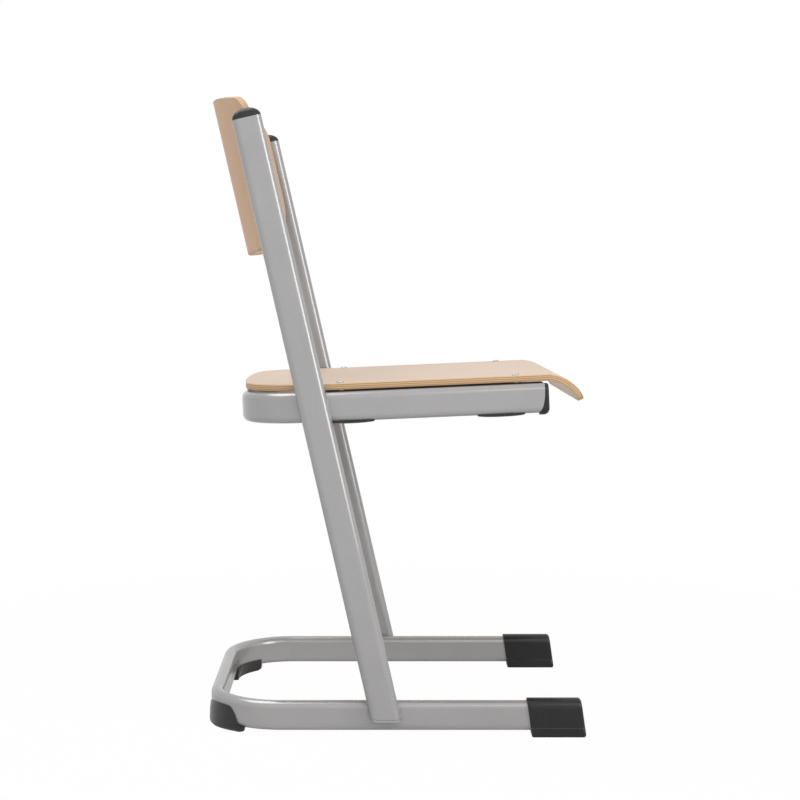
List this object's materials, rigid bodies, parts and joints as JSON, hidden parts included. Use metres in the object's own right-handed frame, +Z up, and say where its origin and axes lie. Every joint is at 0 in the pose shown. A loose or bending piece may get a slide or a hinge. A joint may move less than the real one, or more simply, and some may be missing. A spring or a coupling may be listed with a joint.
{
  "type": "classroom chair",
  "caption": "Fixed cantilever chair: bent flat-oval tube frame, plywood seat with rolled front edge, curved plywood back and plastic feet.",
  "frame": {"origin": "floor level, at the centre of the part's bounding box seen from above", "axes": "+Z up from the floor, +X to the front of the chair, +Y to the sitter's left"},
  "size_m": [0.5025, 0.4386, 0.8433],
  "materials": {
    "frame_coat": "silver-grey powder coat, satin",
    "strip_coat": "black coat, matt",
    "plywood": "clear-lacquered beech plywood",
    "black_plastic": "moulded, matt black",
    "grey_plastic": "moulded, matt dark grey",
    "rivet_steel": "bright steel"
  },
  "bodies": {
    "root": {"back_bracket_lower_left": "frame_coat", "back_bracket_lower_right": "frame_coat", "back_bracket_upper_left": "frame_coat", "back_bracket_upper_right": "frame_coat", "back_panel": "plywood", "back_rivet_lower_left": "rivet_steel", "back_rivet_lower_right": "rivet_steel", "back_rivet_upper_left": "rivet_steel", "back_rivet_upper_right": "rivet_steel", "base_runner": "frame_coat", "front_foot_left": "black_plastic", "front_foot_right": "black_plastic", "rear_glide_left": "grey_plastic", "rear_glide_right": "grey_plastic", "seat_frame": "frame_coat", "seat_frame_plug_left": "black_plastic", "seat_frame_plug_right": "black_plastic", "seat_panel": "plywood", "seat_rivet_front_left": "rivet_steel", "seat_rivet_front_right": "rivet_steel", "seat_rivet_rear_left": "rivet_steel", "seat_rivet_rear_right": "rivet_steel", "seat_spacer_front_left": "rivet_steel", "seat_spacer_front_right": "rivet_steel", "seat_spacer_rear_left": "rivet_steel", "seat_spacer_rear_right": "rivet_steel", "seat_strip_left": "strip_coat", "seat_strip_right": "strip_coat", "table_pad_front_left": "grey_plastic", "table_pad_front_right": "grey_plastic", "table_pad_rear_left": "grey_plastic", "table_pad_rear_right": "grey_plastic", "upright_cap_left": "grey_plastic", "upright_cap_right": "grey_plastic", "upright_end_plate_left": "frame_coat", "upright_end_plate_right": "frame_coat", "upright_left": "frame_coat", "upright_right": "frame_coat"}
  },
  "joints": []
}
